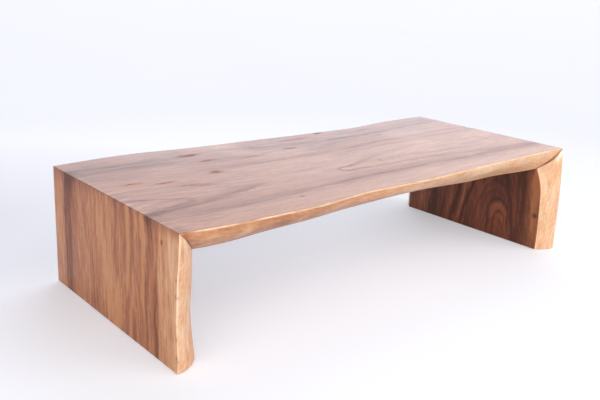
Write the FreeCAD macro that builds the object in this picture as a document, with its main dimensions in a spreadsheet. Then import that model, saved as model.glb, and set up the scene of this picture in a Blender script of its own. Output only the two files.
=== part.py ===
import FreeCAD, Part
import os
import Sketcher

# A coffee table of one thick live-edge plank, cut twice at 45 degrees and folded down at both ends.
# The frame: +X along the table, +Y away from the front edge, +Z up, origin on the floor under the middle.
# Each board is drawn lying flat with its outer face up, then stood in its place.

doc = FreeCAD.newDocument("coffee_table")
sizes = doc.addObject("Spreadsheet::Sheet", "sizes")

driving_sizes = {
    "overall_length": 1700,
    "overall_width": 824,
    "table_height": 400,
    "slab_thickness": 80,
    "edge_band": 200,
    "planing_allowance": 2,
    "arris_ease": 3,
    "foot_ease": 2.5,
    "cut_overrun": 20,
    "tenon_thickness": 14,
    "tenon_width": 50,
    "tenon_length": 76,
    "tenon_count": 6,
    "tenon_from_side": 152,
    "tenon_inset": 35,
    "tenon_arris": 2,
    "tenon_clearance": 0.2,
    "mortise_end_clearance": 1,
    "glide_height": 2,
    "glide_radius": 12,
    "glide_from_side": 132,
    "nail_radius": 1.2,
    "nail_length": 16,
    "nail_clearance": 0.1,
    "nail_hole_end_clearance": 1,
}
for row, (alias, value) in enumerate(driving_sizes.items(), start=1):
    sizes.set(f"A{row}", alias.replace("_", " "))
    sizes.set(f"B{row}", str(value))
    sizes.setAlias(f"B{row}", alias)
doc.recompute()


# Outlines of the live edges
# A row gives how far the board's four long arrises stand in from the table's widest line, at one
# place along the board: front outer, front inner, back outer, back inner, as shares of edge_band.
# The outer face is the wide one, nearest the heart of the log, and the bark side runs in under it.

# The two slabs of a mitre share its corner: the outer arrises at the outer corner, the inner ones
# at the inner corner. Each slab drifts from the corner's outer line by its own small amount.
left_corner_shares = (0.070, 0.425, 0.105, 0.345)
right_corner_shares = (0.320, 0.565, 0.105, 0.345)
left_leg_drift_shares = (0.025, -0.020)
left_top_drift_shares = (-0.040, -0.050)
right_top_drift_shares = (0.025, 0.000)
right_leg_drift_shares = (-0.045, -0.015)

# Between the mitres the rows carry their place as a share of the run from one inner corner to the
# next, or to the foot.
top_edge_shares = (
    (0.07, 0.000, 0.400, 0.005, 0.290),
    (0.16, 0.000, 0.480, 0.015, 0.305),
    (0.26, 0.030, 0.530, 0.110, 0.410),
    (0.36, 0.145, 0.635, 0.160, 0.420),
    (0.46, 0.155, 0.700, 0.190, 0.450),
    (0.56, 0.155, 0.755, 0.243, 0.540),
    (0.66, 0.205, 0.725, 0.265, 0.545),
    (0.75, 0.250, 0.660, 0.290, 0.560),
    (0.84, 0.285, 0.665, 0.200, 0.455),
    (0.93, 0.320, 0.600, 0.120, 0.370),
)
left_leg_edge_shares = (
    (0.0, 0.170, 0.380, 0.030, 0.230),
    (0.2, 0.153, 0.435, 0.044, 0.245),
    (0.4, 0.170, 0.480, 0.057, 0.270),
    (0.6, 0.160, 0.458, 0.067, 0.300),
    (0.8, 0.138, 0.422, 0.076, 0.330),
)
right_leg_edge_shares = (
    (0.2, 0.262, 0.440, 0.083, 0.343),
    (0.4, 0.252, 0.412, 0.074, 0.340),
    (0.6, 0.254, 0.402, 0.067, 0.341),
    (0.8, 0.258, 0.398, 0.061, 0.343),
    (1.0, 0.255, 0.410, 0.055, 0.335),
)
# How far the round of the live edge has come in at half the board's thickness.
edge_belly_share = 0.28

THICKNESS = "sizes.slab_thickness"
TENON_SPREAD = "(sizes.overall_width - 2 * sizes.tenon_from_side)"
GLIDE_SPREAD = "(sizes.overall_width - 2 * sizes.glide_from_side)"
LEG_LENGTH = "(sizes.table_height - sizes.glide_height)"
LEG_RUN = f"({LEG_LENGTH} - {THICKNESS})"


def corner_rows(corner, drifts):
    """Rows of a board over its mitre, at the outer corner and at the inner corner.

    The outer arrises drift from the outer corner on, and the inner ones have drifted before they
    reach the inner corner, so that both slabs have one edge line on the mitre.
    """
    front_outer, front_inner, back_outer, back_inner = corner
    front_drift, back_drift = drifts
    return [
        (0, front_outer, front_inner - front_drift, back_outer, back_inner - back_drift),
        (1, front_outer + front_drift, front_inner, back_outer + back_drift, back_inner),
    ]


def near_start(rows):
    """Places of corner rows on a board whose mitre is at its start."""
    return [(f"{way} * {THICKNESS}", insets) for way, *insets in rows]


def near_end(rows, length):
    """Places of corner rows on a board whose mitre is at its end."""
    return [(f"{length} - {way} * {THICKNESS}", insets) for way, *insets in reversed(rows)]


def between(rows, start, run):
    """Places of the rows on the run between corners."""
    return [(f"{start} + {way} * {run}", insets) for way, *insets in rows]


# Sketches

def origin_feature(body, role):
    """One of a body's own origin planes or axes."""
    for feature in body.Origin.OriginFeatures:
        if feature.Role == role:
            return feature
    raise ValueError(role)


def plane_sketch(body, name, role):
    """A sketch on one of the body's origin planes."""
    sketch = body.newObject("Sketcher::SketchObject", name)
    sketch.AttachmentSupport = [(origin_feature(body, role), "")]
    sketch.MapMode = "FlatFace"
    return sketch


def place(sketch, point):
    """Where a pair of expressions lies on the sketch now."""
    across, up = (float(sketch.evalExpression(expression)) for expression in point)
    return FreeCAD.Vector(across, up, 0)


def pin(sketch, geometry, point):
    """Tie the start of a piece of geometry to a pair of expressions."""
    values = place(sketch, point)
    for kind, axis, expression, value in (
        ("DistanceX", -2, point[0], values.x),
        ("DistanceY", -1, point[1], values.y),
    ):
        if expression == "0":
            sketch.addConstraint(Sketcher.Constraint("PointOnObject", geometry, 1, axis))
        else:
            index = sketch.addConstraint(Sketcher.Constraint(kind, -1, 1, geometry, 1, value))
            sketch.setExpression(f"Constraints[{index}]", expression)


def draw_outline(sketch, corners):
    """A closed outline, anticlockwise. Each corner is a point and the middle of the arc that leaves
    it, or None where a straight line leaves it."""
    first = sketch.GeometryCount
    count = len(corners)
    for number, (point, middle) in enumerate(corners):
        start = place(sketch, point)
        end = place(sketch, corners[(number + 1) % count][0])
        if middle is None:
            sketch.addGeometry(Part.LineSegment(start, end))
        else:
            sketch.addGeometry(Part.Arc(start, place(sketch, middle), end))
    for number, (point, middle) in enumerate(corners):
        piece = first + number
        following = first + (number + 1) % count
        sketch.addConstraint(Sketcher.Constraint("Coincident", piece, 2, following, 1))
        pin(sketch, piece, point)
        if middle is not None:
            spot = sketch.addGeometry(Part.Point(place(sketch, middle)), True)
            pin(sketch, spot, middle)
            sketch.addConstraint(Sketcher.Constraint("PointOnObject", spot, 1, piece))


def draw_straight_outline(sketch, points):
    """A closed outline of straight lines, anticlockwise."""
    draw_outline(sketch, [(point, None) for point in points])


# The plank

def edge_section(body, name, at, insets, drawn_in="0", left_on="0"):
    """The plank's section at one place: flat outer and inner faces, round undercut live edges, and
    the four long arrises eased by sanding. drawn_in makes it smaller by that much all round, and
    left_on is the wood still to be planed off its two faces."""
    front_outer, front_inner, back_outer, back_inner = (
        f"{side} (sizes.overall_width / 2 - {inset:.4f} * sizes.edge_band - {drawn_in})"
        for side, inset in zip("--++", insets)
    )
    front_belly = f"{front_outer} + {edge_belly_share} * (({front_inner}) - ({front_outer}))"
    back_belly = f"{back_outer} + {edge_belly_share} * (({back_inner}) - ({back_outer}))"
    ease = "sizes.arris_ease"
    in_from_side = f"{ease} + {left_on}"
    outer = f"-{drawn_in}"
    inner = f"-{THICKNESS} + {drawn_in}"
    half_down = f"-{THICKNESS} / 2"
    sketch = plane_sketch(body, name, "YZ_Plane")
    sketch.setExpression("AttachmentOffset.Base.z", at)
    draw_outline(sketch, [
        ((f"{back_outer} - ({in_from_side})", f"{outer} + {left_on}"), None),
        ((f"{front_outer} + {in_from_side}", f"{outer} + {left_on}"), None),
        ((front_outer, f"{outer} - {ease}"), (front_belly, half_down)),
        ((front_inner, f"{inner} + {ease}"), None),
        ((f"{front_inner} + {in_from_side}", f"{inner} - {left_on}"), None),
        ((f"{back_inner} - ({in_from_side})", f"{inner} - {left_on}"), None),
        ((back_inner, f"{inner} + {ease}"), (back_belly, half_down)),
        ((back_outer, f"{outer} - {ease}"), None),
    ])
    return sketch


def plank(name, stations):
    """A rough board lofted through the plank's sections, along its own X axis from the first
    station, with its two faces then planed flat."""
    body = doc.addObject("PartDesign::Body", name)
    body.Label = name
    sections = [
        edge_section(body, f"{name}_section_{number}", at, insets, left_on="sizes.planing_allowance")
        for number, (at, insets) in enumerate(stations, start=1)
    ]
    loft = body.newObject("PartDesign::AdditiveLoft", f"{name}_live_edges")
    loft.Profile = (sections[0], [""])
    loft.Sections = [(section, [""]) for section in sections[1:]]
    waste = plane_sketch(body, f"{name}_planing", "YZ_Plane")
    side = "(sizes.overall_width / 2 + sizes.cut_overrun)"
    for low, high in (
        ("0", "sizes.cut_overrun"),
        (f"-{THICKNESS} - sizes.cut_overrun", f"-{THICKNESS}"),
    ):
        draw_straight_outline(waste, [(f"-{side}", low), (side, low), (side, high), (f"-{side}", high)])
    planing = body.newObject("PartDesign::Pocket", f"{name}_planed")
    planing.Profile = waste
    planing.SideType = "Symmetric"
    planing.Type = "ThroughAll"
    return body


def ease_foot(body, foot, upward, insets):
    """Ease the edges round the sawn foot of a leg: what lies outside a tapered outline goes, where
    the outline crosses the board's sides one foot_ease above the foot. foot is its place along the
    board, and upward is + or - for the way that the board runs from it."""
    downward = "-" if upward == "+" else "+"
    rings = []
    for level, at, drawn_in in (
        ("below", f"{foot} {downward} sizes.foot_ease", "(2 * sizes.foot_ease)"),
        ("above", f"{foot} {upward} 2 * sizes.foot_ease", "(-sizes.foot_ease)"),
    ):
        ring = edge_section(body, f"{body.Name}_ease_{level}", at, insets, drawn_in)
        side = "(sizes.overall_width / 2 + sizes.cut_overrun)"
        low = f"-{THICKNESS} - sizes.cut_overrun"
        high = "sizes.cut_overrun"
        draw_straight_outline(ring, [(f"-{side}", low), (side, low), (side, high), (f"-{side}", high)])
        rings.append(ring)
    if upward == "-":
        rings.reverse()
    cut = body.newObject("PartDesign::SubtractiveLoft", f"{body.Name}_foot_ease")
    cut.Profile = (rings[0], [""])
    cut.Sections = [(rings[1], [""])]
    cut.Ruled = True
    return cut


def cut_mitre(body, corner, inward):
    """Saw a 45 degree mitre. corner is the place of the outer corner along the board, and inward is
    + or - for the way that the board runs from it."""
    sketch = plane_sketch(body, f"{body.Name}_mitre_{'start' if inward == '+' else 'end'}", "XZ_Plane")
    outward = "-" if inward == "+" else "+"
    beyond = f"{corner} {outward} sizes.cut_overrun"
    above = (beyond, "sizes.cut_overrun")
    far = (f"{corner} {inward} ({THICKNESS} + sizes.cut_overrun)", f"-{THICKNESS} - sizes.cut_overrun")
    below = (beyond, f"-{THICKNESS} - sizes.cut_overrun")
    draw_straight_outline(sketch, [above, below, far] if inward == "+" else [above, far, below])
    pocket = body.newObject("PartDesign::Pocket", f"{sketch.Name}_cut")
    pocket.Profile = sketch
    pocket.SideType = "Symmetric"
    pocket.Type = "ThroughAll"
    return pocket


def cut_mortises(body, corner, inward):
    """Chop the row of blind mortises for the loose tenons, square to the mitre's face."""
    sketch = plane_sketch(body, f"{body.Name}_mortise_{'start' if inward == '+' else 'end'}", "XY_Plane")
    outward_turn = 225 if inward == "+" else 135
    sketch.AttachmentOffset = FreeCAD.Placement(
        FreeCAD.Vector(), FreeCAD.Rotation(FreeCAD.Vector(0, 1, 0), outward_turn)
    )
    sketch.setExpression("AttachmentOffset.Base.x", corner)
    from_outer_corner = f"({THICKNESS} * sqrt(2) - sizes.tenon_inset)"
    across = f"-{from_outer_corner}" if inward == "+" else from_outer_corner
    half_thickness = "(sizes.tenon_thickness / 2 + sizes.tenon_clearance)"
    half_width = "(sizes.tenon_width / 2 + sizes.tenon_clearance)"
    left = f"{across} - {half_thickness}"
    right = f"{across} + {half_thickness}"
    low = f"-{TENON_SPREAD} / 2 - {half_width}"
    high = f"-{TENON_SPREAD} / 2 + {half_width}"
    draw_straight_outline(sketch, [(left, low), (right, low), (right, high), (left, high)])
    pocket = body.newObject("PartDesign::Pocket", f"{sketch.Name}_cut")
    pocket.Profile = sketch
    pocket.setExpression("Length", "sizes.tenon_length / 2 + sizes.mortise_end_clearance")
    row = body.newObject("PartDesign::LinearPattern", f"{sketch.Name}_row")
    row.Originals = [pocket]
    row.Direction = (origin_feature(body, "Y_Axis"), [""])
    row.setExpression("Length", TENON_SPREAD)
    row.setExpression("Occurrences", "sizes.tenon_count")
    body.Tip = row
    return row


def drill_nail_holes(body, foot, inward):
    """Drill the foot for the nails of the glides."""
    sketch = plane_sketch(body, f"{body.Name}_nail_hole", "YZ_Plane")
    sketch.setExpression("AttachmentOffset.Base.z", foot)
    radius = "sizes.nail_radius + sizes.nail_clearance"
    centre = (f"-{GLIDE_SPREAD} / 2", f"-{THICKNESS} / 2")
    circle = sketch.addGeometry(
        Part.Circle(place(sketch, centre), FreeCAD.Vector(0, 0, 1), place(sketch, (radius, "0")).x)
    )
    for kind, expression in (("DistanceX", centre[0]), ("DistanceY", centre[1])):
        value = float(sketch.evalExpression(expression))
        index = sketch.addConstraint(Sketcher.Constraint(kind, -1, 1, circle, 3, value))
        sketch.setExpression(f"Constraints[{index}]", expression)
    index = sketch.addConstraint(
        Sketcher.Constraint("Radius", circle, float(sketch.evalExpression(radius)))
    )
    sketch.setExpression(f"Constraints[{index}]", radius)
    pocket = body.newObject("PartDesign::Pocket", f"{sketch.Name}_cut")
    pocket.Profile = sketch
    pocket.setExpression("Length", "sizes.nail_length + sizes.nail_hole_end_clearance")
    pocket.Reversed = inward == "+"
    row = body.newObject("PartDesign::LinearPattern", f"{sketch.Name}_row")
    row.Originals = [pocket]
    row.Direction = (origin_feature(body, "Y_Axis"), [""])
    row.setExpression("Length", GLIDE_SPREAD)
    row.Occurrences = len(glide_places)
    body.Tip = row
    return row


glide_places = {"front": f"-{GLIDE_SPREAD} / 2", "back": f"{GLIDE_SPREAD} / 2"}

# Top slab
# The board lies as drawn, its outer face at the table's height, with a mitre at each end.
top_length = "sizes.overall_length"
top_slab = plank(
    "top_slab",
    near_start(corner_rows(left_corner_shares, left_top_drift_shares))
    + between(top_edge_shares, THICKNESS, f"({top_length} - 2 * {THICKNESS})")
    + near_end(corner_rows(right_corner_shares, right_top_drift_shares), top_length),
)
cut_mitre(top_slab, "0", "+")
cut_mitre(top_slab, top_length, "-")
cut_mortises(top_slab, "0", "+")
cut_mortises(top_slab, top_length, "-")
top_slab.setExpression("Placement.Base.x", f"-{top_length} / 2")
top_slab.setExpression("Placement.Base.z", "sizes.table_height")

# Left leg slab
# The board runs up from its foot to the mitre, and its outer face looks to -X.
left_leg_slab = plank(
    "left_leg_slab",
    between(left_leg_edge_shares, "0", LEG_RUN)
    + near_end(corner_rows(left_corner_shares, left_leg_drift_shares), LEG_LENGTH),
)
ease_foot(left_leg_slab, "0", "+", left_leg_edge_shares[0][1:])
cut_mitre(left_leg_slab, LEG_LENGTH, "-")
cut_mortises(left_leg_slab, LEG_LENGTH, "-")
drill_nail_holes(left_leg_slab, "0", "+")
left_leg_slab.Placement = FreeCAD.Placement(
    FreeCAD.Vector(), FreeCAD.Rotation(FreeCAD.Vector(0, 1, 0), -90)
)
left_leg_slab.setExpression("Placement.Base.x", "-sizes.overall_length / 2")
left_leg_slab.setExpression("Placement.Base.z", "sizes.glide_height")

# Right leg slab
# The board runs down from the mitre to its foot, and its outer face looks to +X.
right_leg_slab = plank(
    "right_leg_slab",
    near_start(corner_rows(right_corner_shares, right_leg_drift_shares))
    + between(right_leg_edge_shares, THICKNESS, LEG_RUN),
)
ease_foot(right_leg_slab, LEG_LENGTH, "-", right_leg_edge_shares[-1][1:])
cut_mitre(right_leg_slab, "0", "+")
cut_mortises(right_leg_slab, "0", "+")
drill_nail_holes(right_leg_slab, LEG_LENGTH, "-")
right_leg_slab.Placement = FreeCAD.Placement(
    FreeCAD.Vector(), FreeCAD.Rotation(FreeCAD.Vector(0, 1, 0), 90)
)
right_leg_slab.setExpression("Placement.Base.x", "sizes.overall_length / 2")
right_leg_slab.setExpression("Placement.Base.z", "sizes.table_height")


def loose_tenon(name, side, number):
    """A flat hardwood tenon, its long arrises planed off so that glue can rise past them. side is -
    at the left mitre and + at the right."""
    body = doc.addObject("PartDesign::Body", name)
    body.Label = name
    sketch = plane_sketch(body, f"{name}_section", "XY_Plane")
    face = "sizes.tenon_thickness / 2"
    edge = "sizes.tenon_width / 2"
    face_end = f"({edge} - sizes.tenon_arris)"
    edge_end = f"({face} - sizes.tenon_arris)"
    draw_straight_outline(sketch, [
        (face, f"-{face_end}"),
        (face, face_end),
        (edge_end, edge),
        (f"-{edge_end}", edge),
        (f"-{face}", face_end),
        (f"-{face}", f"-{face_end}"),
        (f"-{edge_end}", f"-{edge}"),
        (edge_end, f"-{edge}"),
    ])
    pad = body.newObject("PartDesign::Pad", f"{name}_length")
    pad.Profile = sketch
    pad.SideType = "Symmetric"
    pad.setExpression("Length", "sizes.tenon_length")
    into_top_turn = 45 if side == "-" else -45
    body.Placement = FreeCAD.Placement(
        FreeCAD.Vector(), FreeCAD.Rotation(FreeCAD.Vector(0, 1, 0), into_top_turn)
    )
    down_the_mitre = f"({THICKNESS} - sizes.tenon_inset / sqrt(2))"
    body.setExpression("Placement.Base.x", f"{side}(sizes.overall_length / 2 - {down_the_mitre})")
    body.setExpression(
        "Placement.Base.y", f"{TENON_SPREAD} * ({number} / (sizes.tenon_count - 1) - 0.5)"
    )
    body.setExpression("Placement.Base.z", f"sizes.table_height - {down_the_mitre}")
    return body


# Loose tenons of both mitres
tenons = [
    loose_tenon(f"{hand}_mitre_tenon_{number + 1}", side, number)
    for hand, side in (("left", "-"), ("right", "+"))
    for number in range(int(sizes.tenon_count))
]


def glide(name, side, across):
    """A nylon glide with its nail, turned round its own upright axis from the floor up."""
    body = doc.addObject("PartDesign::Body", name)
    body.Label = name
    sketch = plane_sketch(body, f"{name}_profile", "XZ_Plane")
    top = "sizes.glide_height"
    point = f"{top} + sizes.nail_length"
    draw_straight_outline(sketch, [
        ("0", "0"),
        ("sizes.glide_radius", "0"),
        ("sizes.glide_radius", top),
        ("sizes.nail_radius", top),
        ("sizes.nail_radius", point),
        ("0", point),
    ])
    turned = body.newObject("PartDesign::Revolution", f"{name}_turned")
    turned.Profile = sketch
    turned.ReferenceAxis = (sketch, ["V_Axis"])
    turned.Angle = 360
    body.setExpression("Placement.Base.x", f"{side}(sizes.overall_length / 2 - {THICKNESS} / 2)")
    body.setExpression("Placement.Base.y", across)
    return body


# Glides under both legs
glides = [
    glide(f"{hand}_glide_{where}", side, across)
    for hand, side in (("left", "-"), ("right", "+"))
    for where, across in glide_places.items()
]

doc.recompute()

for feature in doc.Objects:
    if "Invalid" in feature.State or "Error" in feature.State:
        raise RuntimeError(f"{feature.Name}: {feature.State}")

os.makedirs("parts", exist_ok=True)
for piece in [top_slab, left_leg_slab, right_leg_slab] + tenons + glides:
    shape = piece.Shape
    if shape.isNull() or not shape.isValid() or len(shape.Solids) != 1:
        raise RuntimeError(f"{piece.Label} isn't one valid solid")
    print(piece.Label, f"{shape.Volume:.0f} mm3")
    shape.exportStep(f"parts/{piece.Label}.step")
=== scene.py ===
import math

import bpy
import numpy as np
from mathutils import Matrix, Vector


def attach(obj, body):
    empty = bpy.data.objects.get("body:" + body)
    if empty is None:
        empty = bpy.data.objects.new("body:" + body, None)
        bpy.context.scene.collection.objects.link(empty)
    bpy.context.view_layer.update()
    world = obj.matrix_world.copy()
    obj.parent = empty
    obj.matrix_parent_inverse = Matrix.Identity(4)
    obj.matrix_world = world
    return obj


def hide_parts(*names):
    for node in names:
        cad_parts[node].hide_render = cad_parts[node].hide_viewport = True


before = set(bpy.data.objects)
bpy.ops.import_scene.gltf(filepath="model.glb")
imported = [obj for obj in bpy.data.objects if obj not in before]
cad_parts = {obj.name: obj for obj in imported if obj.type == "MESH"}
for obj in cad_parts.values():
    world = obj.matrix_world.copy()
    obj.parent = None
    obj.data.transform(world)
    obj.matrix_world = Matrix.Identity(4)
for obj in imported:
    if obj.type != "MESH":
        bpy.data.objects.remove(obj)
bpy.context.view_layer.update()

# Top slab
# One thick plank of a dark tropical hardwood, planed flat and lacquered satin, its bark edges left
# round and undercut. Both ends are mitred, and the figure runs on over the mitres into the legs.
OVERALL_LENGTH = 1.700
TABLE_HEIGHT = 0.400
WIDTH = 0.825
THICKNESS = 0.080
# How far the long arrises are rounded, and the outer corner of a mitre.
ARRIS = 0.0028
MITRE_ARRIS = 0.0016

# Places along the plank, laid out flat: 0 at the left outer corner, negative down the left leg, and
# over the length of the top down the right leg. All lines and streaks are looked up on this scale.
ALONG_STEP = 0.0025
ALONG = np.arange(-0.45, 2.15, ALONG_STEP)


def blurred(values, softness):
    """Values along the plank, averaged under a bell curve of that standard deviation in metres, which
    is cut off at three of them."""
    half = round(3 * softness / ALONG_STEP)
    bell = np.exp(-0.5 * (np.arange(-half, half + 1) * ALONG_STEP / softness) ** 2)
    return np.convolve(np.pad(values, half, mode="edge"), bell / bell.sum(), mode="valid")


def waves(along, beside, along_length, beside_length, count, seed):
    """A soft random field of about -1 to 1: the sum of plane waves with seeded random directions
    and phases, whose lengths scatter about the two given ones."""
    random = np.random.default_rng(seed)
    total = np.zeros(np.broadcast(along, beside).shape)
    for _ in range(count):
        turns = random.normal(0, 1 / along_length) * along + random.normal(0, 1 / beside_length) * beside
        total += np.cos(2 * np.pi * turns + random.uniform(0, 2 * np.pi))
    return total / math.sqrt(count)


def mixed_waves(along, beside, table):
    """The sum of a table's random fields: (strength, length along, length beside, waves, seed)."""
    return sum(strength * waves(along, beside, *field) for strength, *field in table)


def node_points(name):
    """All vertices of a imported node, one row each."""
    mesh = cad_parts[name].data
    points = np.empty(len(mesh.vertices) * 3)
    mesh.vertices.foreach_get("co", points)
    return points.reshape(-1, 3)


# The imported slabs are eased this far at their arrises. A vertex is on an arris if it is this close
# to that depth and this far from the plank's middle. The line through them is blurred by this much.
ARRIS_EASE = 0.003
DEPTH_CLOSE = 0.00005
FAR_OUT = 0.2
ARRIS_BLUR = 0.012


def arris_lines(name, laid_flat):
    """The four long arrises of a packed slab: front outer, front inner, back outer, back inner. Each
    is the line through its vertices, sorted along the plank and slightly blurred."""
    along, across, depth = laid_flat(node_points(name).T)
    lines = []
    for side in (-1, 1):
        for level in (ARRIS_EASE, THICKNESS - ARRIS_EASE):
            here = (np.abs(depth - level) < DEPTH_CLOSE) & (across * side > FAR_OUT)
            order = np.argsort(along[here])
            straight = np.interp(ALONG, along[here][order], across[here][order])
            lines.append(blurred(straight, ARRIS_BLUR))
    return lines


# How a side runs in from the outer arris to the inner one: its even share, and the share that grows
# with the square of the way down.
EVEN_SHARE = 0.12
SQUARE_SHARE = 0.88


def side_at(outer, inner, depth, inward):
    """How far across the plank its side lies at a depth: a quarter circle at the outer arris, a round
    belly that runs in as the shares above say, and a quarter circle at the inner arris."""
    way = np.clip((depth - ARRIS) / (THICKNESS - 2 * ARRIS), 0, 1)
    belly = outer + (inner - outer) * (EVEN_SHARE * way + SQUARE_SHARE * way**2)
    from_face = np.minimum(depth, THICKNESS - depth)
    to_round = np.clip(ARRIS - from_face, 0, ARRIS)
    return belly + inward * (ARRIS - np.sqrt(ARRIS**2 - to_round**2))


def round_steps(arris, count):
    """Distances from an edge at even angles round its arris."""
    return arris * (1 - np.cos(np.linspace(0, np.pi / 2, count)))


# Columns round an arris and down a side, rows round an end, and the gap to the first row past them.
ARRIS_COLUMNS = 6
SIDE_COLUMNS = 20
END_ROWS = 7
END_GAP = 0.002
# Lumps of the live edges: height, length along, length down, waves, seed.
FRONT_LUMPS = [(0.0016, 0.16, 0.07, 12, 5), (0.0004, 0.05, 0.012, 14, 6)]
BACK_LUMPS = [(0.0016, 0.16, 0.07, 12, 7), (0.0004, 0.05, 0.012, 14, 8)]


def board(name, laid_flat, stood_up, start, end, face_step, inner_step, row_step):
    """A slab as one closed skin, swept along the plank: a loop of columns round its section and rows
    from its start to its end, both ends capped. The steps are those of the mesh, across and along.

    start and end are (place, slope, arris): a mitre's place moves with the depth by its slope, and a
    sawn foot has slope 0. A mitre's outer corner and a foot's edges are rounded to that arris. The
    sides are those of side_at, with lumps that grow as a sine squared from arris to arris.
    """
    arrises = arris_lines(name, laid_flat)
    outer_shares = np.linspace(1, 0, round(WIDTH / face_step))
    inner_shares = np.linspace(0, 1, round(WIDTH / inner_step))
    arris_depths = round_steps(ARRIS, ARRIS_COLUMNS)[1:]
    belly_depths = np.linspace(ARRIS, THICKNESS - ARRIS, SIDE_COLUMNS)[1:-1]
    side_depths = np.concatenate([arris_depths, belly_depths, THICKNESS - arris_depths[::-1]])
    depth = np.concatenate([
        np.zeros(len(outer_shares)), side_depths,
        np.full(len(inner_shares), THICKNESS), side_depths[::-1],
    ])
    share = np.concatenate([
        outer_shares, np.zeros(len(side_depths)), inner_shares, np.ones(len(side_depths)),
    ])

    length = end[0] - start[0]
    first_rows, last_rows = (
        np.append(round_steps(arris, END_ROWS), arris + END_GAP) for _, _, arris in (start, end)
    )
    middle = np.linspace(first_rows[-1], length - last_rows[-1], round(length / row_step))
    run = np.concatenate([first_rows, middle[1:-1], (length - last_rows)[::-1]])[:, None]
    depth = np.broadcast_to(depth, (len(run), len(depth))).copy()
    share = np.broadcast_to(share, depth.shape)
    place = start[0] + start[1] * depth + (length + (end[1] - start[1]) * depth) * run / length

    # A mitre's outer corner turns by half a right angle, less and less with the depth. A foot is
    # drawn in all round by a quarter circle.
    drawn_in = np.zeros(depth.shape)
    for (_, slope, arris), past, way in ((start, run, 1), (end, length - run, -1)):
        near = np.clip(past, 0, arris)
        if slope:
            angle = np.pi / 4 * (1 - near / arris)
            fading = np.clip(1 - depth / (2 * arris), 0, 1)
            place += way * fading * np.where(past < arris, arris * (1 - np.sin(angle)) - past, 0)
            depth += fading * arris * (1 - np.cos(angle))
        else:
            drawn_in += arris - np.sqrt(arris**2 - (arris - near) ** 2)

    front_outer, front_inner, back_outer, back_inner = (
        np.interp(place, ALONG, line) for line in arrises
    )
    on_side = (share == 0) | (share == 1)
    lump = np.sin(np.pi * depth / THICKNESS) ** 2 * on_side
    front = side_at(front_outer, front_inner, depth, 1) + drawn_in
    front += lump * mixed_waves(place, depth, FRONT_LUMPS)
    back = side_at(back_outer, back_inner, depth, -1) - drawn_in
    back += lump * mixed_waves(place, depth, BACK_LUMPS)
    across = front * (1 - share) + back * share
    depth += drawn_in * (1 - 2 * depth / THICKNESS)

    rows, columns = depth.shape
    points = np.stack(stood_up(place, across, depth), axis=-1).reshape(-1, 3)
    first = np.arange(rows * columns).reshape(rows, columns)
    beside = np.roll(first, -1, axis=1)
    quads = np.stack([first[:-1], beside[:-1], beside[1:], first[1:]], axis=-1).reshape(-1, 4)
    faces = quads.tolist() + [first[0, ::-1].tolist(), first[-1].tolist()]
    mesh = bpy.data.meshes.new(name + "_wood")
    mesh.from_pydata(points.tolist(), [], faces)
    smooth = np.ones(len(faces), dtype=bool)
    smooth[-2:] = False
    mesh.polygons.foreach_set("use_smooth", smooth)
    mesh.validate()

    flat = np.stack([place, across, depth], axis=-1)
    write_figure(mesh, flat.reshape(-1, 3))
    piece = bpy.data.objects.new(name + "_wood", mesh)
    bpy.context.collection.objects.link(piece)
    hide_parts(name)
    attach(piece, "root")
    return piece


# The figure of the wood, drawn in millimetres: place along the plank, then place across it.
MM = 0.001
# Where the sapwood of the front and back edges begins, on the outer faces and on the inner ones.
FRONT_SAPWOOD = [
    (-396, -281), (-110, -284), (0, -294), (100, -302), (400, -292), (560, -272), (700, -254),
    (1000, -250), (1300, -246), (1700, -242), (2096, -246),
]
FRONT_SAPWOOD_INSIDE = [(-396, -262), (0, -255), (1700, -250), (1780, -262), (2096, -268)]
BACK_SAPWOOD = [
    (-396, 343), (0, 323), (200, 316), (600, 304), (1100, 300), (1400, 312), (1700, 318), (2096, 330),
]
BACK_SAPWOOD_INSIDE = [(-396, 320), (0, 300), (1700, 305), (2096, 312)]
# How pale the sapwood is, from 0, not at all, to 1.6, palest: on the outer faces, on the inner ones
# and on the live edges. The back of an outer face has this share of it, and it grows from the border.
FACE_PALENESS = [(-396, 0.82), (-30, 0.73), (0, 0.38), (60, 0.26), (1640, 0.34), (1700, 0.45), (2096, 0.5)]
INSIDE_PALENESS = 0.42
EDGE_PALENESS = [
    (-396, 0.92), (-280, 1.25), (-140, 1.40), (-4, 1.46), (10, 0.55), (90, 0.80), (200, 0.72), (300, 0.53),
    (480, 0.56), (650, 0.82), (900, 1.0), (1200, 1.42), (1600, 1.36), (1720, 1.45), (2096, 1.45),
]
BACK_PALENESS = 0.55
PALENESS_GROWTH = [(0, 0.64), (90, 1.08)]
# How much darker the wood is along the plank, on the outer faces and on the inner ones. On the outer faces
# this is partly the wood's own tone and partly painted light and shade: lighter down the left leg, darker at
# the top's left end. On the inner faces it is painted shade under the table, deepest on the right leg's
# inner face in the shade of the top.
OUTER_TONE_AND_SHADE = [
    (-398, 0.01), (-330, -0.06), (-200, -0.08), (-20, -0.05), (0, 0.09), (100, 0.12), (700, 0.04),
    (1200, -0.02), (1700, -0.03), (2098, 0.0),
]
INNER_PAINTED_SHADE = [(-398, 0.25), (1600, 0.25), (1780, 0.50), (2098, 0.47)]
# How strong the streaks are along the plank, and how strong the fine lines between them.
STREAK_DEPTH = [(-398, 1.18), (-20, 1.12), (40, 0.60), (600, 0.58), (1640, 0.60), (1780, 0.88), (2098, 0.88)]
LINE_DEPTH = [(-398, 1.36), (-10, 1.36), (30, 0.64), (1680, 0.64), (1780, 0.80), (2098, 0.80)]

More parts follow.
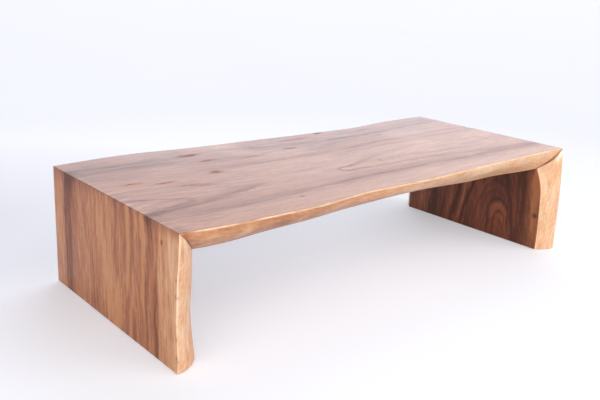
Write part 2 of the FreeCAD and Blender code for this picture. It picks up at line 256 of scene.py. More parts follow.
# A streak is (strength, width towards the front, width towards the back, line).
OUTER_STREAKS = [
    # the top
    (0.20, 6, 16, [
        (-120, -278), (0, -288), (100, -296), (400, -287), (560, -266), (700, -248),
        (1700, -238), (2096, -240),
    ]),
    (0.38, 36, 48, [(640, -258), (780, -248), (1000, -240), (1300, -244), (1700, -252)]),
    (0.22, 16, 18, [(1150, -180), (1300, -184), (1500, -204), (1700, -214)]),
    (0.18, 48, 40, [(-20, -272), (120, -262), (250, -242)]),
    (0.18, 26, 40, [(250, -268), (450, -262), (640, -256)]),
    (0.50, 12, 22, [(-20, -240), (0, -234), (120, -220), (250, -194), (380, -164), (430, -140)]),
    (0.50, 5, 5, [(15, -90), (80, -112), (150, -136), (185, -162)]),
    (0.35, 5, 6, [(60, -204), (120, -190), (185, -166)]),
    (0.40, 8, 12, [(800, -126), (900, -92), (1010, -50)]),
    (0.18, 12, 16, [(1010, -50), (1200, -14), (1420, 24)]),
    (0.34, 9, 9, [(800, -158), (860, -162), (1100, -164), (1250, -176)]),
    (0.22, 14, 12, [(900, -110), (1050, -104), (1250, -120), (1500, -128)]),
    (0.36, 14, 20, [(340, 84), (700, 74), (1000, 82), (1100, 104), (1290, 114)]),
    (0.24, 16, 20, [(1240, 112), (1500, 124), (1700, 134)]),
    (0.24, 30, 22, [(900, 40), (1200, 66), (1700, 84)]),
    (0.34, 8, 12, [(570, 290), (660, 274), (760, 244)]),
    (0.16, 12, 14, [(800, 238), (950, 232), (1080, 230)]),
    (0.34, 15, 13, [(1040, 230), (1120, 232), (1200, 236), (1330, 240)]),
    (0.16, 15, 17, [(1300, 246), (1500, 268), (1640, 280)]),
    (0.30, 18, 14, [(20, 286), (180, 288), (345, 280)]),
    (0.32, 24, 14, [(20, 244), (180, 240), (340, 232)]),
    (0.16, 22, 22, [(10, 158), (250, 160)]),
    (0.46, 95, 200, [(640, 262), (1050, 250), (1400, 290), (1700, 330)]),
    (0.34, 120, 200, [(-10, 280), (300, 250), (600, 200)]),
    (0.14, 60, 50, [(1420, 190), (1700, 210)]),
    (0.28, 60, 50, [(860, 150), (1050, 150), (1250, 170)]),
    (-0.16, 50, 40, [(1240, 20), (1350, 40), (1450, 20)]),
    # the left leg, from its back edge to its front one
    (0.45, 13, 4, [(-400, 320), (-200, 314), (-20, 303), (0, 299)]),
    (0.30, 44, 12, [(-400, 300), (-200, 294), (0, 284)]),
    (0.30, 7, 8, [(-400, 290), (-200, 276), (0, 268)]),
    (0.24, 55, 70, [(-150, 262), (0, 262)]),
    (0.20, 9, 9, [(-60, 134), (0, 136)]),
    (0.26, 5, 5, [(-400, 118), (-170, 120)]),
    (0.24, 6, 6, [(-400, 136), (-250, 132)]),
    (0.22, 7, 9, [(-400, 98), (-290, 86)]),
    (-0.26, 46, 40, [(-370, 20), (-200, 34), (-70, 56)]),
    (-0.14, 22, 22, [(-400, 10), (-200, 12), (0, 12)]),
    (0.20, 6, 6, [(-130, 30), (0, 30)]),
    (0.24, 5, 5, [(-400, 34), (-340, 34)]),
    (0.30, 12, 9, [(-215, -40), (-100, -42), (0, -42)]),
    (-0.50, 14, 16, [(-400, -40), (-330, -42), (-262, -50)]),
    (0.26, 16, 14, [(-400, -92), (-270, -96)]),
    (0.16, 16, 12, [(-170, -90), (-90, -98), (0, -92)]),
    (-0.75, 7, 8, [(-230, -114), (-100, -119), (0, -119)]),
    (-0.22, 8, 8, [(-400, -120), (-290, -122)]),
    (0.30, 8, 8, [(-160, -142), (0, -144)]),
    (0.32, 8, 8, [(-400, -141), (-320, -141)]),
    (-0.26, 8, 7, [(-95, -161), (0, -160)]),
    (0.20, 9, 9, [(-400, -180), (0, -184)]),
    (-0.80, 6, 6, [(-270, -199), (-110, -203), (0, -204)]),
    (-0.20, 6, 7, [(-110, -214), (0, -214)]),
    (0.34, 7, 8, [(-400, -218), (-150, -218)]),
    (0.32, 9, 7, [(-210, -224), (-100, -232), (0, -234)]),
    (0.26, 9, 9, [(-70, -253), (0, -252)]),
    (-0.26, 9, 9, [(-150, -266), (-90, -278), (0, -282)]),
    (0.64, 7, 10, [(-400, -268), (-300, -270), (-200, -272), (-155, -272)]),
]
INNER_STREAKS = [
    (0.12, 70, 60, [(1780, -150), (2100, -130)]),
    # the right leg, from its front edge to its back one
    (0.16, 16, 16, [(2040, -300), (2100, -300)]),
    (-0.42, 24, 16, [(1740, -298), (1970, -306), (2035, -314)]),
    (0.26, 12, 10, [(1740, -250), (2100, -252)]),
    (0.16, 5, 5, [(1740, -226), (2100, -238)]),
    (0.66, 5, 6, [
        (1780, -150), (1840, -172), (1905, -186), (1950, -200), (2000, -206), (2050, -214), (2100, -224),
    ]),
    (-0.16, 26, 30, [(1960, -140), (2100, -138)]),
    (-0.12, 40, 40, [(1780, -40), (2000, -36), (2100, -30)]),
    (0.62, 6, 8, [(1760, -44), (1860, -14), (1905, -1), (1950, 10), (2000, 22), (2050, 36), (2100, 54)]),
    (-0.42, 9, 10, [(1860, 14), (1905, 25), (1950, 36), (2000, 47), (2050, 61), (2100, 74)]),
    (0.46, 8, 10, [(1880, 52), (1950, 70), (2000, 78), (2050, 92), (2100, 104)]),
    (-0.20, 14, 12, [(1940, 112), (2010, 120), (2100, 132)]),
    (0.26, 6, 6, [(1980, 136), (2050, 148), (2100, 156)]),
    (0.34, 18, 22, [(1960, 192), (2100, 206)]),
    (-0.34, 34, 34, [(1980, 268), (2100, 284)]),
]
# Each streak's strength falls off to its sides with this power of the distance. Its ends fade over
# this length, but not where it runs out at the left foot or meets the left mitre.
STREAK_POWER = 1.7
STREAK_FADE = 90
PAST_FOOT = -390
NEAR_FOOT = -300
NEAR_MITRE = -60
# Where the fine lines fade on the inner faces: strength, place, half length, place across, half width.
CALM_PATCHES = [(0.55, 1925, 75, -135, 62)]
# Arches where the saw ran flat through the rings: strength, place of the crown, way that the arch
# opens along the plank, its middle across it, half width, length to full width, width of the line.
ARCHES = [
    (0.20, 1942, 1, -140, 46, 60, 6),
    (-0.24, 1964, 1, -143, 35, 44, 11),
    (0.22, 1990, 1, -146, 25, 34, 4),
    (0.34, 757, 1, -139, 23, 34, 8),
    (0.20, 176, -1, -172, 22, 40, 5),
]
AMBER_STREAKS = [
    (0.45, 8, 8, [(-270, -200), (0, -204)]),
    (0.45, 8, 8, [(-230, -115), (0, -120)]),
    (0.30, 14, 14, [(-400, -40), (-262, -50)]),
    (0.20, 26, 26, [(500, -190), (1000, -190), (1600, -170)]),
    (0.30, 900, 900, [(-400, 0), (-25, 0)]),
]
# Flecks and small knots: strength, place, half length, place across, half width.
AMBER_FLECKS = [
    (0.9, 110, 26, 58, 9), (0.8, 205, 30, 28, 9), (0.8, 250, 28, -37, 9), (0.7, 290, 26, -57, 8),
    (1.0, 400, 20, 53, 10), (0.8, 455, 30, 193, 9), (1.0, 432, 34, 290, 13), (0.7, 625, 38, 160, 9),
    (0.9, 808, 22, 195, 9), (0.6, 920, 46, 300, 10), (1.0, 1060, 20, 343, 8), (0.4, 1260, 26, 298, 8),
    (0.4, 1260, 24, 198, 7),
]
DARK_FLECKS = [
    (0.45, 445, 20, 283, 9), (0.4, 400, 12, 53, 6), (0.7, 1060, 12, 343, 5), (0.8, 460, 7, -312, 4),
    (0.9, -50, 6, -312, 4.5), (0.30, 12, 24, -372, 36),
    (-0.16, -45, 95, -362, 26), (0.7, -131, 5, -378, 4), (0.6, -177, 9, -380, 4), (0.7, -259, 5, -379, 4),
    (0.6, -297, 7, -379, 4), (0.6, -353, 8, -380, 4), (0.35, -200, 22, -340, 4), (0.3, -290, 26, -352, 5),
    (0.25, -320, 20, -322, 4),
]
# How deep the dark flecks reach, and a small knot hole on the right leg's inner face.
FLECK_DEPTH = 4
KNOT_HOLES = [(2.2, 1965, 6, -314, 6)]
# On the front live edge: strength, place, half length, depth, half width.
# Near-white patches on the front live edges, mostly on the right leg just under its mitre.
NEAR_WHITE_PATCHES = [(1.9, 1716, 8, 8, 6), (1.8, 1727, 9, 16, 6), (1.3, 1741, 9, 25, 6), (0.35, 2010, 14, 10, 5)]
PALE_SWIRLS = [
    (0.55, 205, 20, 34, 12), (0.30, 190, 8, 52, 8), (0.25, 560, 60, 20, 10), (0.25, 900, 80, 26, 12),
]
# The first brown swirl, under the top's left outer corner, paints the shade there.
BROWN_SWIRLS_AND_SHADE = [
    (0.50, 18, 16, 22, 18), (0.30, 60, 24, 62, 12), (0.28, 330, 40, 40, 16), (0.24, 720, 46, 52, 14),
]
# Painted shadow on the top's front live edge before the right mitre, under the open joint: strength, and
# length it fades over.
MITRE_PAINTED_SHADOW = (0.5, 7)
# The heart of the log, which the growth rings lie round: its place across the plank, and how far it
# lies under the outer faces.
HEART_ACROSS = [(-400, -120), (0, -110), (780, -135), (1300, -90), (1700, -110), (1900, -132), (2100, -132)]
HEART_BELOW = [(-400, 30), (0, 50), (600, 110), (780, 95), (1300, 8), (1600, 30), (1780, 84), (2100, -30)]
# How far the listed lines are blurred along the plank, in metres.
SHADE_BLUR = 0.008
STREAK_BLUR = 0.02
SAPWOOD_BLUR = 0.03
HEART_BLUR = 0.08

# Random fields: strength, length along the plank, length across it or down an edge, waves, seed.
WANDER = [(3.0, 190, 90, 12, 11), (1.2, 46, 40, 14, 12)]
RING_WOBBLE = [(2.0, 70, 30, 10, 13)]
MOTTLE = [(0.10, 70, 30, 16, 18), (0.04, 24, 9, 16, 19)]
# Patchy shares: their level, their least, their most, and the random field on them.
RAGGED = (0.65, 0, 1.2, (0.5, 26, 11, 16, 17))
HIGHLIGHT_PATCHINESS = (0.85, 0.45, 1, (0.30, 150, 200, 12, 15))
CHIPPED = (0.24, 0, 1, (0.12, 500, 40, 16, 16))
# How much of the wander the sapwood's border takes, and the distance from it that is still written.
SAPWOOD_WANDER = 0.35
SAPWOOD_REACH = 60

# Between these two depths the outer faces' figure passes into the inner faces'. A live edge begins
# this deep under a face, and is in full this much deeper.
OUTER_SKIN = 25
INNER_SKIN = 70
EDGE_START = 0.3
EDGE_RISE = 2
# How much an amber fleck darkens the wood. The lacquer is duller where the wood is dark, up to a
# limit, and on amber flecks, and glossier towards the back of the outer faces.
AMBER_TONE = 0.55
DULL_TONE = 0.30
MOST_DULL = 0.25
DULL_AMBER = 0.45
DULL_ACROSS = [(-100, 0.01), (80, 0.0), (250, -0.055)]
# The pale band on the outer arrises, a painted highlight: its depth, half width and the depth that it starts
# over. It lies at least this far from the plank's middle, and grows along the top from its left end.
HIGHLIGHT_DEPTH = 1.7
HIGHLIGHT_WIDTH = 2.2
HIGHLIGHT_START = 0.5
HIGHLIGHT_FROM = 150
HIGHLIGHT_ALONG = [(25, 0.1), (60, 1.0)]
# How open the mitres look on the live edges, by depth; the right one's wider dark line is painted shadow in
# the open joint. And how much of the chips along the left outer corner the right one has.
LEFT_GAP = [(0, 0.30), (20, 0.22), (80, 0.30)]
RIGHT_GAP = [(0, 0.05), (10, 0.10), (24, 0.20), (40, 0.36), (80, 0.42)]
RIGHT_CHIPS = 0.5


def read_line(at, points):
    """Straight runs between (place, value) points, read at those places."""
    return np.interp(at, *np.transpose(points))


def smooth_line(place, points, softness):
    """Straight runs between (place, value) points, blurred into one smooth line along the plank."""
    places, values = np.transpose(points)
    return np.interp(MM * place, ALONG, blurred(np.interp(ALONG, MM * places, values), softness))


def patchy(place, across, share):
    """A level plus one random field, kept between a least and a most."""
    level, least, most, field = share
    return np.clip(level + mixed_waves(place, across, [field]), least, most)


def streaks(place, across, table):
    """The sum of a table's streaks: each falls off to both sides of its line as e to minus a power of
    the distance over the width, and fades straight at its ends."""
    total = np.zeros(place.shape)
    for strength, front_width, back_width, line in table:
        middle = smooth_line(place, line, STREAK_BLUR) if len(line) > 2 else read_line(place, line)
        off = across - middle
        width = np.where(off < 0, front_width, back_width)
        first, last = line[0][0], line[-1][0]
        fading = np.clip((place - first) / STREAK_FADE + 0.5, 0, 1)
        fading *= np.clip((last - place) / STREAK_FADE + 0.5, 0, 1)
        fading = np.where((first < PAST_FOOT) & (place < NEAR_FOOT), 1, fading)
        fading = np.where((last == 0) & (place > NEAR_MITRE) & (place < 0), 1, fading)
        total += strength * np.exp(-np.abs(off / width) ** STREAK_POWER) * fading
    return total


def flecks(place, across, table):
    """The sum of a table's spots, each a bell over an ellipse that is longest along the grain."""
    total = np.zeros(place.shape)
    for strength, at, long, middle, wide in table:
        total += strength * np.exp(-((place - at) / long) ** 2 - ((across - middle) / wide) ** 2)
    return total


def arches(place, across, inner):
    """The sum of the arches on the inner faces, past the length of the top, or on the outer ones. Each
    is a bell over the distance from a line: half an ellipse round the crown, and past its full width
    two straight legs that fade out over three more lengths."""
    total = np.zeros(place.shape)
    for strength, crown, way, middle, half_width, length, line_width in ARCHES:
        if inner == (crown > OVERALL_LENGTH / MM):
            past = (place - crown) * way
            around = np.hypot((across - middle) / half_width, np.clip(1 - past / length, 0, None))
            line = np.exp(-(((around - 1) * half_width / line_width) ** 2))
            total += strength * line * np.clip(1 - (past - length) / (3 * length), 0, 1)
    return total


def inner_share(depth):
    """0 near the outer face and 1 near the inner one: a smooth step between two depths."""
    share = np.clip((depth - OUTER_SKIN) / (INNER_SKIN - OUTER_SKIN), 0, 1)
    return share * share * (3 - 2 * share)


def edge_share(depth):
    """1 on a live edge and 0 on a flat face, with a straight ramp under each face."""
    rise = np.clip((depth - EDGE_START) / EDGE_RISE, 0, 1)
    return rise * np.clip((THICKNESS / MM - EDGE_START - depth) / EDGE_RISE, 0, 1)


def tone_amber_dull(place, across, depth, wander, inside, on_edge):
    """Three shares of the figure. The tone is the streaks times their depth along the plank, plus the
    darkness along the plank, which is partly painted light and shade, the painted shadow before the right
    mitre, and the flecks, arches, mottle, swirls and knot. The amber is its streaks plus ragged flecks. The
    dullness is a share of both."""
    bent = across + wander
    inner_face = inside * (1 - on_edge)
    tone = (1 - inside) * streaks(place, bent, OUTER_STREAKS)
    tone += inner_face * streaks(place, bent, INNER_STREAKS)
    # Darkness along the plank: partly the wood's own tone and partly painted light and shade on the outer
    # faces, painted shade on the inner faces.
    outer_tone_and_shade, inner_painted_shade, streak_depth = (
        smooth_line(place, line, SHADE_BLUR) for line in (OUTER_TONE_AND_SHADE, INNER_PAINTED_SHADE, STREAK_DEPTH)
    )
    tone = tone * streak_depth + (1 - on_edge) * ((1 - inside) * outer_tone_and_shade + inside * inner_painted_shade)
    tone += flecks(place, bent, DARK_FLECKS) * np.exp(-((depth / FLECK_DEPTH) ** 2))
    tone += arches(place, bent, False) * (1 - inside)
    tone += arches(place, bent, True) * inner_face

    front_edge = on_edge * (across < 0)
    swirls_and_shade = flecks(place, depth, BROWN_SWIRLS_AND_SHADE) - flecks(place, depth, PALE_SWIRLS)
    tone += on_edge * mixed_waves(place, depth, MOTTLE) + front_edge * swirls_and_shade
    # Painted shadow on the top's front live edge, fading away from the right mitre.
    before_right = OVERALL_LENGTH / MM - depth - place
    shade, reach = MITRE_PAINTED_SHADOW
    shadow = np.where(before_right > -1, np.exp(-np.clip(before_right, 0, None) / reach), 0)
    tone += shade * front_edge * shadow

    spots = flecks(place, bent, AMBER_FLECKS) * (1 - inside) * patchy(place, across, RAGGED)
    amber = streaks(place, bent, AMBER_STREAKS) * (1 - inside) + spots
    tone += AMBER_TONE * spots
    dull = np.clip(DULL_TONE * tone, 0, MOST_DULL) + DULL_AMBER * np.clip(spots, 0, 1)
    dull += read_line(across, DULL_ACROSS) * (1 - inside)
    tone += flecks(place, across, KNOT_HOLES) * inside
    return tone, amber, dull


def within_sapwood(place, across, depth, wander):
    """How far a place lies inside the sapwood of either edge, negative outside it. The border runs
    straight through the thickness from one face's line to the other's, and wanders a little."""

    def border(outside, inside):
        """The place of an edge's border across the plank."""
        outer, inner = (smooth_line(place, line, SAPWOOD_BLUR) for line in (outside, inside))
        return outer + (inner - outer) * depth * MM / THICKNESS

    wobble = SAPWOOD_WANDER * wander
    in_front = border(FRONT_SAPWOOD, FRONT_SAPWOOD_INSIDE) - across + wobble
    at_back = across - border(BACK_SAPWOOD, BACK_SAPWOOD_INSIDE) + wobble
    return np.maximum(in_front, at_back)


def from_heart(place, across, depth, wander):
    """The straight distance from the heart of the log, in metres, with a wobble across the plank."""
    aside = across + wander + mixed_waves(place, across, RING_WOBBLE)
    aside = aside - smooth_line(place, HEART_ACROSS, HEART_BLUR)
    return np.hypot(aside, smooth_line(place, HEART_BELOW, HEART_BLUR) + depth) * MM


def paleness(place, across, sapwood, inside, on_edge):
    """The paleness of the outer or inner face, times its share at the back and its growth into the
    sapwood. On a live edge the edges' own paleness takes its place."""
    on_face, on_side = (
        smooth_line(place, line, SHADE_BLUR) for line in (FACE_PALENESS, EDGE_PALENESS)
    )
    on_face = on_face * (1 - inside) + INSIDE_PALENESS * inside
    on_face = on_face * np.where((across > 0) & (inside < 0.5), BACK_PALENESS, 1.0)
    on_face = on_face * read_line(sapwood, PALENESS_GROWTH)
    return on_face + (on_side - on_face) * on_edge


def highlight_and_patches_at(place, across, depth, on_edge):
    """A patchy pale band along the outer arrises, a painted highlight, which falls off as e to minus the
    cube of the distance from its middle, plus near-white patches on the front live edges, mostly on the
    right leg just under its mitre."""
    highlight_level = patchy(place, across, HIGHLIGHT_PATCHINESS) * (np.abs(across) > HIGHLIGHT_FROM)
    band = np.exp(-np.abs((depth - HIGHLIGHT_DEPTH) / HIGHLIGHT_WIDTH) ** 3) * np.clip(depth / HIGHLIGHT_START, 0, 1)
    highlight_and_patches = highlight_level * band * np.where(place > depth, read_line(place, HIGHLIGHT_ALONG), 1.0)
    return highlight_and_patches + flecks(place, depth, NEAR_WHITE_PATCHES) * on_edge * (across < 0)


def mitre_gap(place, across, depth, on_edge):
    """How open the nearer mitre looks: by the depth on a live edge, and by patchy chips elsewhere. At the
    right mitre's live edge the wider dark line is painted shadow.
    """
    at_left = place < OVERALL_LENGTH / MM / 2
    opened = np.where(at_left, read_line(depth, LEFT_GAP), read_line(depth, RIGHT_GAP))
    chipped = patchy(place, across, CHIPPED) * np.where(at_left, 1, RIGHT_CHIPS)
    return opened * on_edge + chipped * (1 - on_edge)


def write_figure(mesh, flat):
    """Writes the wood's figure onto a mesh's vertices: plank, the place in the plank laid flat; tone, dark
    or pale streaks with painted light and shade; amber, orange streaks; sapwood, millimetres inside the
    sapwood; ring, the distance from the heart of the log, which makes the growth rings; pale, how far the
    sapwood's pale colour shows; then the painted highlight along the outer arrises and the near-white
    patches on the front live edges; gap, how open a mitre looks, dark as a glue line and, at the right
    mitre's live edge, as painted shadow; dull, how far the lacquer has sunk in; lined, how strong the fine
    lines are; edge, 1 on a live edge and 0 on a flat face."""
    place, across, depth = flat.T / MM
    wander = mixed_waves(place, across, WANDER)
    inside = inner_share(depth)
    on_edge = edge_share(depth)
    tone, amber, dull = tone_amber_dull(place, across, depth, wander, inside, on_edge)
    sapwood = within_sapwood(place, across, depth, wander)
    calm = inside * flecks(place, across, CALM_PATCHES)
    fields = {
        "tone": tone,
        "amber": amber,
        "sapwood": np.clip(sapwood, -SAPWOOD_REACH, SAPWOOD_REACH),
        "ring": from_heart(place, across, depth, wander),
        "pale": paleness(place, across, sapwood, inside, on_edge),
        "highlight_and_patches": highlight_and_patches_at(place, across, depth, on_edge),
        "gap": mitre_gap(place, across, depth, on_edge),
        "dull": dull,
        "lined": smooth_line(place, LINE_DEPTH, SHADE_BLUR) - calm,
        "edge": on_edge,
    }
    for label, values in fields.items():
        written = mesh.attributes.new(label, "FLOAT", "POINT")
        written.data.foreach_set("value", values.astype(np.float32))
    plank = mesh.attributes.new("plank", "FLOAT_VECTOR", "POINT")
    plank.data.foreach_set("vector", flat.astype(np.float32).ravel())


class Shader:
    """The nodes of a material or of the world, added one by one before its surface node. An input is
    given as a socket or as a value."""

    def __init__(self, owner, surface="Principled BSDF"):
        owner.use_nodes = True
        self.owner = owner
        self.tree = owner.node_tree
        self.surface = self.tree.nodes[surface]

    def fill(self, node, inputs):
        """Links each input to its socket, or gives it its value."""
        for key, value in dict(inputs).items():
            if isinstance(value, bpy.types.NodeSocket):
                self.tree.links.new(value, node.inputs[key])
            else:
                node.inputs[key].default_value = value

    def add(self, kind, inputs=(), **settings):
        """The outputs of a new node with its settings and inputs."""
        node = self.tree.nodes.new("ShaderNode" + kind)
        for key, value in settings.items():
            setattr(node, key, value)
        self.fill(node, inputs)
        return node.outputs

    def attribute(self, name, output="Fac"):
        """A value that is written on the vertices."""
        return self.add("Attribute", attribute_name=name)[output]

    def math(self, operation, *values, clamp=False):
        """One operation on numbers."""
        return self.add("Math", enumerate(values), operation=operation, use_clamp=clamp)[0]

    def times(self, first, second, clamp=False):
        """The product of two values."""
        return self.math("MULTIPLY", first, second, clamp=clamp)

    def total(self, first, *others):
        """The sum of all the values."""
        for value in others:
            first = self.math("ADD", first, value)
        return first

    def vector(self, operation, *values, output=0):
        """One operation on vectors."""
        return self.add("VectorMath", enumerate(values), operation=operation)[output]

    def combine(self, x=0.0, y=0.0, z=0.0):
        """Three numbers as one vector."""
        return self.add("CombineXYZ", {0: x, 1: y, 2: z})[0]

    def noise(self, place, cells, detail, roughness):
        """Soft noise about a half, with that many cells in a metre along each axis."""
        vector = self.vector("MULTIPLY", place, cells)
        inputs = {"Vector": vector, "Scale": 1.0, "Detail": detail, "Roughness": roughness}
        return self.add("TexNoise", inputs)["Fac"]

    def swing(self, noise, amount):
        """How far a noise is from a half, times an amount."""
        return self.times(self.math("SUBTRACT", noise, 0.5), amount)

    def between(self, value, low, high, to_low=0.0, to_high=1.0):
        """A straight ramp from (low, to_low) to (high, to_high), level beyond them."""
        inputs = {0: value, 1: low, 2: high, 3: to_low, 4: to_high}
        return self.add("MapRange", inputs, clamp=True)[0]

    def ramp(self, value, stops):
        """A colour read between (position, colour) stops."""
        read = self.add("ValToRGB", {0: value})["Color"]
        elements = read.node.color_ramp.elements
        while len(elements) < len(stops):
            elements.new(1.0)
        for element, (position, colour) in zip(elements, stops):
            element.position = position
            element.color = (*colour, 1.0)
        return read

    def mix(self, share, first, second, blend="MIX"):
        """The first colour, and by its share the second."""
        colours = ((*colour, 1.0) if isinstance(colour, tuple) else colour for colour in (first, second))
        inputs = zip((0, 6, 7), (share, *colours))
        return self.add("Mix", inputs, data_type="RGBA", blend_type=blend)[2]

    def bump(self, height, distance, strength):
        """A normal tilted by the slope of a height, which is in units of the distance in metres."""
        return self.add("Bump", {"Height": height, "Distance": distance, "Strength": strength})["Normal"]


# Colours of the heartwood and the sapwood from pale to dark, and of what lies in and on them.
HEART_STOPS = [
    (0.00, (0.590, 0.280, 0.124)),
    (0.30, (0.420, 0.155, 0.059)),
    (0.55, (0.305, 0.098, 0.040)),
    (0.80, (0.175, 0.048, 0.023)),
    (1.00, (0.080, 0.022, 0.010)),
]
SAP_STOPS = [
    (0.00, (0.820, 0.572, 0.385)),
    (0.30, (0.724, 0.379, 0.203)),
    (0.55, (0.558, 0.247, 0.113)),
    (0.80, (0.400, 0.158, 0.069)),
    (1.00, (0.190, 0.078, 0.036)),
]
AMBER = (0.470, 0.150, 0.040)
# The streaks' tint, from reddish to golden.
REDDISH = (1.00, 0.89, 0.85)
GOLDEN = (1.00, 1.09, 1.04)
PORE = (0.070, 0.030, 0.018)
# The pale colour of the painted highlight along the outer arrises, and the near-white of the patches on the
# front live edges.
HIGHLIT_ARRIS = (0.930, 0.720, 0.530)
NEAR_WHITE = (1.000, 0.900, 0.830)
# The glue line's dark, also used for the painted shadow in the right mitre's open joint.
GLUE_LINE_AND_SHADOW = (0.085, 0.036, 0.022)

# Noises drawn out along the grain: cells in a metre along the plank, across it and through it, then
# detail and roughness.
BEND = ((5.0, 14.0, 14.0), 2.0, 0.5)
BROAD = ((5.8, 42.0, 42.0), 4.0, 0.6)
STRIPE = ((15.0, 110.0, 110.0), 3.0, 0.6)
FIBRE = ((42.0, 380.0, 380.0), 3.0, 0.6)
HUE = ((9.0, 70.0, 70.0), 3.0, 0.6)
PATCH = ((4.0, 9.0, 9.0), 2.0, 0.5)
PORES = ((70.0, 1500.0, 1500.0), 1.0, 0.5)
NICKS = ((95.0, 30.0, 30.0), 1.0, 0.5)
# The growth rings: cells in a metre away from the heart and along the plank, detail, roughness.
RINGS = ((150.0, 4.2, 0.0), 4.0, 0.62)
# The rasp marks on the live edges: cells in a metre along and across them, and their two slants.
RASP = ((55.0, 210.0, 0.0), 3.0, 0.6)
RASP_SLANTS = (0.7, 0.35)
# How far the grain is bent aside, in metres, and how strong each kind of line is.
BEND_REACH = 0.010
BROAD_DEPTH = 0.70
RING_DEPTH = 0.95
STRIPE_DEPTH = 0.62
FIBRE_DEPTH = 0.42
PATCH_DEPTH = 0.35
RASP_DEPTH = 0.42
# How far tone and lines carry the heartwood along its colours, from this middle, and the sapwood
# along its own, from a middle that falls as it gets paler. How far amber covers the heartwood.
HEART_TONE = 0.95
HEART_MIDDLE = 0.36
SAP_TONE = 0.8
SAP_LINES = 0.60
SAP_MIDDLE = (0.2, 1.6, 0.62, 0.06)
AMBER_SHARE = 0.75
# The sapwood's border: how far it frays and how soft it is, in millimetres, and the paleness from
# which it shows in full.
SAP_FRAY = 10.0
SAP_BORDER = (-3.0, 5.0)
SAP_PALE = (0.0, 0.9)
# Where the noises turn from reddish to golden and from wood to pore, and how dark the pores show.
TINT_RANGE = (0.2, 0.8)
PORE_RANGE = (0.62, 0.74)
PORE_SHARE = 0.40
# The glue line, widened into painted shadow where the right mitre looks open: its half width where a mitre
# is fully open, its soft border, and how it shows.
GAP_WIDTH = 0.0028
GLUE_BORDER = (0.0004, 0.0012, 1.0, 0.0)
GLUE_SHARE = (0.0, 0.6, 0.15, 0.95)
# The painted highlight follows the fibres; past this much it is the near-white of the patches. Nicks are on
# the left leg alone.
HIGHLIGHT_FIBRES = (0.25, 0.6, 0.35, 0.95)
NEAR_WHITE_RANGE = (1.0, 1.6)
NICK_RANGE = (0.66, 0.72)
NICK_END = (-0.03, -0.01, 1.0, 0.0)
# The lacquer's roughness, its share of the dullness and its swings, and the relief under it: the
# fibres' share, and then its height in metres and how far it shows.
LACQUER_ROUGH = 0.38
DULL_SHARE = 0.75
FIBRE_ROUGH = 0.12
BROAD_ROUGH = 0.08
LACQUER_IOR = 1.43
FIBRE_RELIEF = 0.4
RELIEF = (0.00012, 0.6)


